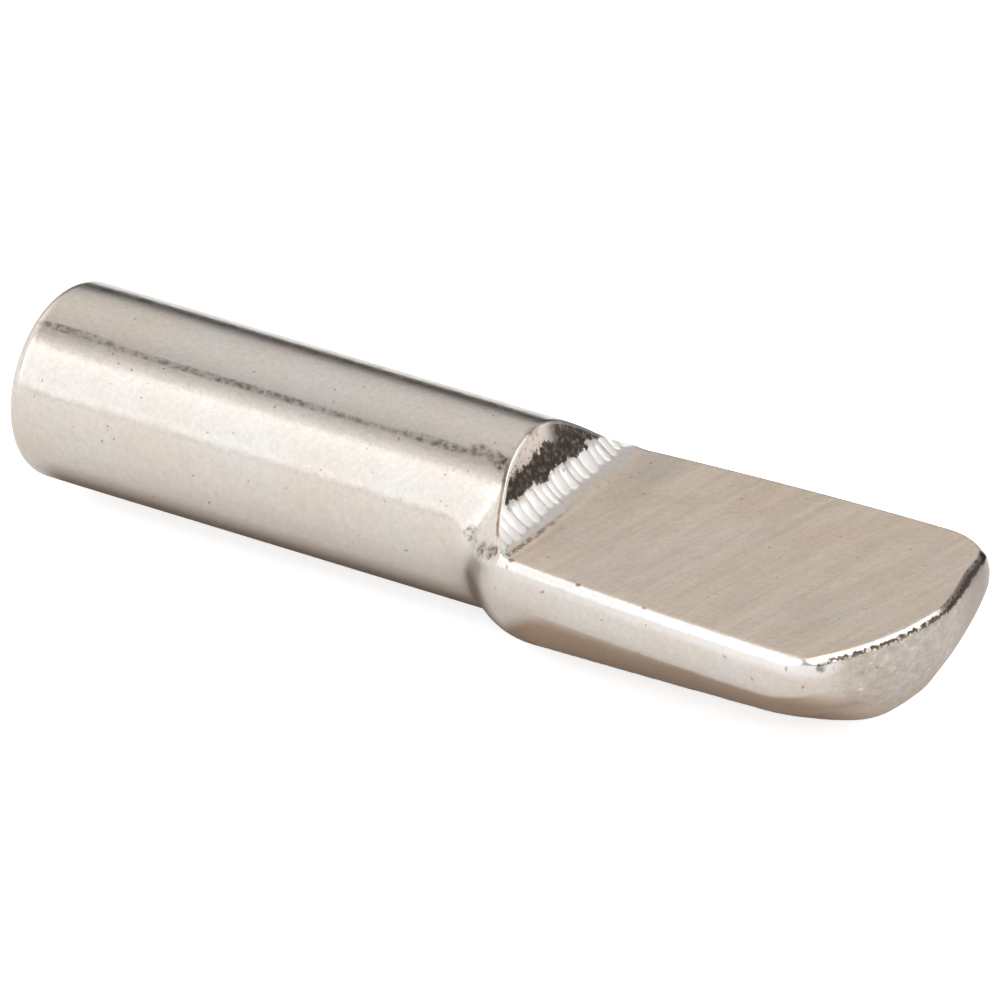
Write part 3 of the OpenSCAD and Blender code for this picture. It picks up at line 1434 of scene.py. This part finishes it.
        # Painted dark reflection over the far half of the chamfer and its border
        dark = on.times(on.band(tip, 0.0, 0.22, 0.04), on_end, on.span(on.y, 0.0, 0.4),
                        on.span(on.ragged, 0.36, 0.54, 1.0, 0.15), 0.90)
        return [(chamfer_highlight, self.pale_highlight), (border, self.grime_and_shade), (dark, self.grime_and_shade)]

    def specks(self, on: Surface) -> Layers:
        """Lists fine brown specks, denser in some places than in others.

        Args:
            on: the surface.

        Returns:
            The layers, in order.
        """
        specks = on.noise((5.5, 5.5, 5.5), 1.0, 0.4, shift=(4.0, 4.0, 9.0))
        sparse = on.span(on.patch, 0.45, 0.65, 0.765, 0.725)
        speck = on.span(on.minus(specks, sparse), 0.0, 0.04)
        return [(on.times(speck, 0.55), self.stain)]

    def roughness(self, on: Surface) -> Socket:
        """Makes the roughness: satin shank, brushed flat, coarse tip and scraped shoulder.

        Args:
            on: the surface.

        Returns:
            The roughness.
        """
        cloud = on.noise((2.0, 2.0, 2.0), 4.0, 0.6, shift=(2.0, 6.0, 1.0))
        value = on.span(cloud, 0.25, 0.75, 0.17, 0.25)
        brushed = on.span(on.streaks, 0.3, 0.7, 0.26, 0.38)
        value = on.scaled(on.flat, on.minus(brushed, value), value)
        end = on.times(on.span(on.tip, 0.14, 0.24), on.span(on.end, 0.2, 0.8))
        edge = on.times(on.band(on.tip, 0.0, 0.20, 0.03), on.span(on.end, 0.5, 0.9))
        face = on.times(on.span(on.foot, 0.45, 0.60), on.fall(on.rim, -0.01, 0.01))
        for share, more in ((end, 0.22), (edge, 0.12), (face, 0.22)):
            value = on.scaled(share, more, value)
        return value

    def grain(self, on: Surface) -> Socket:
        """Makes the surface's fine relief: a soft grain, streaks on the flat and a rough tip.

        Args:
            on: the surface.

        Returns:
            The bumped normal.
        """
        fine = on.noise((9.0, 9.0, 9.0), 2.0, 0.6)
        soft = on.noise((1.2, 1.2, 1.2), 2.0, 0.5, shift=(5.0, 5.0, 5.0))
        coarse = on.noise((3.2, 3.2, 3.2), 4.0, 0.65, shift=(0.0, 2.0, 7.0))
        height = on.scaled(soft, 2.5, fine)
        height = on.scaled(on.times(on.streaks, on.flat), 2.0, height)
        end = on.times(on.span(on.tip, 0.10, 0.25), on.end)
        height = on.scaled(on.times(coarse, end), 22.0, height)
        bump = on.add("Bump")
        for name, value in (("Strength", 1.0), ("Distance", self.bump_height * MM),
                            ("Height", height)):
            on.feed(bump.inputs[name], value)
        return bump.outputs[0]


@dataclass(frozen=True)
class SoftBox:
    """A soft rectangular lamp that faces the pin. Its lengths are in metres.

    Its level is its brightness, where 1 looks white.
    """

    name: str
    place: Triple
    width: float
    height: float
    level: float
    tint: Triple = (1.0, 1.0, 1.0)

    def build(self) -> None:
        """Makes the lamp."""
        data = bpy.data.lights.new(self.name, "AREA")
        data.shape, data.size, data.size_y = "RECTANGLE", self.width, self.height
        data.energy = self.level * math.pi * self.width * self.height
        data.color = self.tint
        lamp = bpy.data.objects.new(self.name, data)
        lamp.location = self.place
        lamp.rotation_mode = "QUATERNION"
        lamp.rotation_quaternion = (-Vector(self.place)).to_track_quat("-Z", "Y")
        bpy.context.collection.objects.link(lamp)


@dataclass
class Studio:
    """The floor, the soft boxes, the dome around them and the camera."""

    azimuth: float = 34.013
    elevation: float = 26.527
    distance: float = 0.7
    lens: float = 1029.12
    aim: Triple = (-0.7028, -0.2617, 0.3530)
    floor_reach: float = 2.0
    floor_white: Triple = (0.9, 0.9, 0.9)
    floor_glow: float = 0.72
    left_glow: float = 0.4
    # Colours of the shadow painted on the floor under the shank and under the blade
    shank_shadow_tint: Triple = (0.26, 0.18, 0.12)
    blade_shadow_tint: Triple = (0.515, 0.387, 0.288)
    boxes: tuple[SoftBox, ...] = (
        SoftBox("near_soft_box", (-0.346, -0.520, 0.300), 0.95, 0.52, 0.86, (0.96, 1.03, 1.10)),
        SoftBox("far_soft_box", (0.45, 0.26, 0.30), 0.62, 0.345, 1.1),
        SoftBox("side_soft_box", (0.42, -0.06, 0.44), 0.60, 0.75, 0.7))
    dome: tuple[tuple[float, float], ...] = (
        (0.0, 0.20), (1.5, 0.04), (3.0, 0.03), (11.5, 0.03), (18.0, 0.15), (24.0, 0.38),
        (30.0, 0.65), (40.0, 0.77), (55.0, 0.84), (68.0, 0.85), (82.0, 0.78), (95.0, 0.66),
        (101.0, 0.58), (104.0, 0.46), (108.0, 0.68), (113.0, 0.88), (118.0, 0.99), (124.0, 0.94),
        (128.0, 0.78), (133.0, 0.62), (145.0, 0.52), (164.0, 0.46), (169.0, 0.62), (175.0, 0.76),
        (180.0, 0.88))

    def toward(self) -> Vector:
        """Returns the direction from the pin to the camera."""
        a, e = math.radians(self.azimuth), math.radians(self.elevation)
        return Vector((math.sin(a) * math.cos(e), -math.cos(a) * math.cos(e), math.sin(e)))

    def camera(self) -> None:
        """Makes the camera and sets it as the scene's."""
        data = bpy.data.cameras.new("camera")
        data.lens, data.sensor_width = self.lens, 36.0
        data.clip_start, data.clip_end = 0.01, 10.0
        cam = bpy.data.objects.new("camera", data)
        cam.location = Vector(self.aim) * MM + self.toward() * self.distance
        cam.rotation_mode = "QUATERNION"
        cam.rotation_quaternion = (-self.toward()).to_track_quat("-Z", "Y")
        bpy.context.collection.objects.link(cam)
        bpy.context.scene.camera = cam

    def world(self) -> None:
        """Makes the dome, whose brightness goes by the angle up from the far horizon."""
        world = bpy.data.worlds.new("studio")
        world.use_nodes = True
        graph = Graph(world.node_tree)
        x, y, z = graph.axes(graph.place("Generated"))
        ramp = graph.add("ValToRGB")
        graph.feed(ramp.inputs[0], graph.math("DIVIDE", graph.math("ARCTAN2", z, y), math.pi))
        stops = ramp.color_ramp.elements
        stops[0].position, stops[1].position = 0.0, 1.0
        for angle, _ in self.dome[1:-1]:
            stops.new(angle / 180.0)
        for stop, (_, level) in zip(stops, self.dome):
            stop.color = (level, level, level, 1.0)
        left = graph.span(x, -0.86, -0.62, self.left_glow, 0.0)
        colour = graph.mix(1.0, ramp.outputs[0], left, "ADD")
        graph.feed(world.node_tree.nodes["Background"].inputs["Color"], colour)
        bpy.context.scene.world = world

    def floor(self, height: float) -> None:
        """Makes the white floor, which keeps the pin's shadow.

        Args:
            height: its height, in metres.
        """
        bm = bmesh.new()
        bmesh.ops.create_grid(bm, x_segments=1, y_segments=1, size=self.floor_reach)
        bmesh.ops.translate(bm, vec=(0.0, 0.0, height), verts=bm.verts)
        mesh = bpy.data.meshes.new("floor")
        bm.to_mesh(mesh)
        bm.free()
        floor = bpy.data.objects.new("floor", mesh)
        bpy.context.collection.objects.link(floor)
        mesh.materials.append(self.floor_finish())

    def floor_finish(self) -> bpy.types.Material:
        """Makes the floor's material, with a shadow painted under the pin that only reflections
        see.

        Returns:
            The material.
        """
        mat = bpy.data.materials.new("white_floor")
        mat.use_nodes = True
        mat.node_tree.nodes.remove(mat.node_tree.nodes["Principled BSDF"])
        graph = Graph(mat.node_tree)
        path = graph.add("LightPath").outputs
        mirrored = graph.math("MAXIMUM", path["Is Glossy Ray"], path["Is Transmission Ray"])
        seen = graph.times(path["Is Camera Ray"], self.floor_glow)
        x, y, _ = graph.axes(graph.place(), 1.0 / MM)
        # A shadow painted on the floor under the pin, seen only by reflections
        shadow_tint = graph.mix(graph.span(x, -0.3, 1.3), self.shank_shadow_tint, self.blade_shadow_tint)
        under = graph.times(self.painted_shadow_shape(graph, x, y), mirrored)
        sheet, glow, both = graph.add("BsdfDiffuse"), graph.add("Emission"), graph.add("AddShader")
        output = mat.node_tree.nodes["Material Output"]
        for socket, value in (
                (sheet.inputs["Color"], graph.mix(under, self.floor_white, shadow_tint)),
                (glow.inputs["Strength"], graph.scaled(mirrored, self.far_glow(graph), seen)),
                (both.inputs[0], sheet.outputs[0]), (both.inputs[1], glow.outputs[0]),
                (output.inputs["Surface"], both.outputs[0])):
            graph.feed(socket, value)
        return mat

    def far_glow(self, graph: Graph) -> Socket:
        """Makes the floor's glow in reflections: more far away and behind the shank.

        Args:
            graph: the floor's node tree.

        Returns:
            The glow's strength.
        """
        place = graph.place()
        away = graph.add("VectorMath", operation="LENGTH")
        graph.feed(away.inputs[0], place)
        behind = graph.span(graph.axes(place)[0], -0.10, -0.05, 0.35, 0.0)
        return graph.plus(graph.span(away.outputs["Value"], 0.006, 0.035, 0.06, 0.15), behind)

    def painted_shadow_shape(self, graph: Graph, x: Socket, y: Socket) -> Socket:
        """Makes the outline of the shadow painted on the floor, wider under the blade than under
        the shank.

        Args:
            graph: the floor's node tree.
            x: place along the pin, in millimetres.
            y: place across.

        Returns:
            1 well under the pin, falling to 0 below its long sides.
        """
        wide = graph.span(x, -0.3, 1.3, 2.5, 4.05)
        soft = graph.span(x, -0.3, 1.3, 1.4, 0.8)
        gap = graph.minus(wide, graph.math("ABSOLUTE", y))
        inside = graph.math("DIVIDE", gap, soft, clamp=True)
        ends = graph.times(graph.fall(x, 9.0, 12.5), graph.span(x, -14.5, -13.5))
        return graph.times(inside, ends)

    def build(self, floor_z: float) -> None:
        """Makes everything around the pin.

        Args:
            floor_z: height of the floor, in metres.
        """
        self.camera()
        self.world()
        self.floor(floor_z)
        for box in self.boxes:
            box.build()


def main() -> None:
    """Builds the pin and its studio, and logs the pin's face count."""
    logging.basicConfig(level=logging.INFO, format="%(name)s: %(message)s")
    low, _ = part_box(NODE)
    body = PinBody(Shank(free_end=low.x / MM), Shoulder(), BladeOutline(), Flare(), Nose(),
                   Ridges())
    mesh = bpy.data.meshes.new("pin_body")
    bm = body.mesh()
    bm.to_mesh(mesh)
    bm.free()
    mesh.materials.append(NickelPlate().material())
    pin = bpy.data.objects.new("pin_body", mesh)
    bpy.context.collection.objects.link(pin)
    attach(pin, BODY)
    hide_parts(NODE)
    log.info("pin_body: %d faces", len(mesh.polygons))
    Studio().build(low.z - FLOOR_GAP)
    bpy.context.scene.view_settings.view_transform = "Standard"


if __name__ == "__main__":
    main()
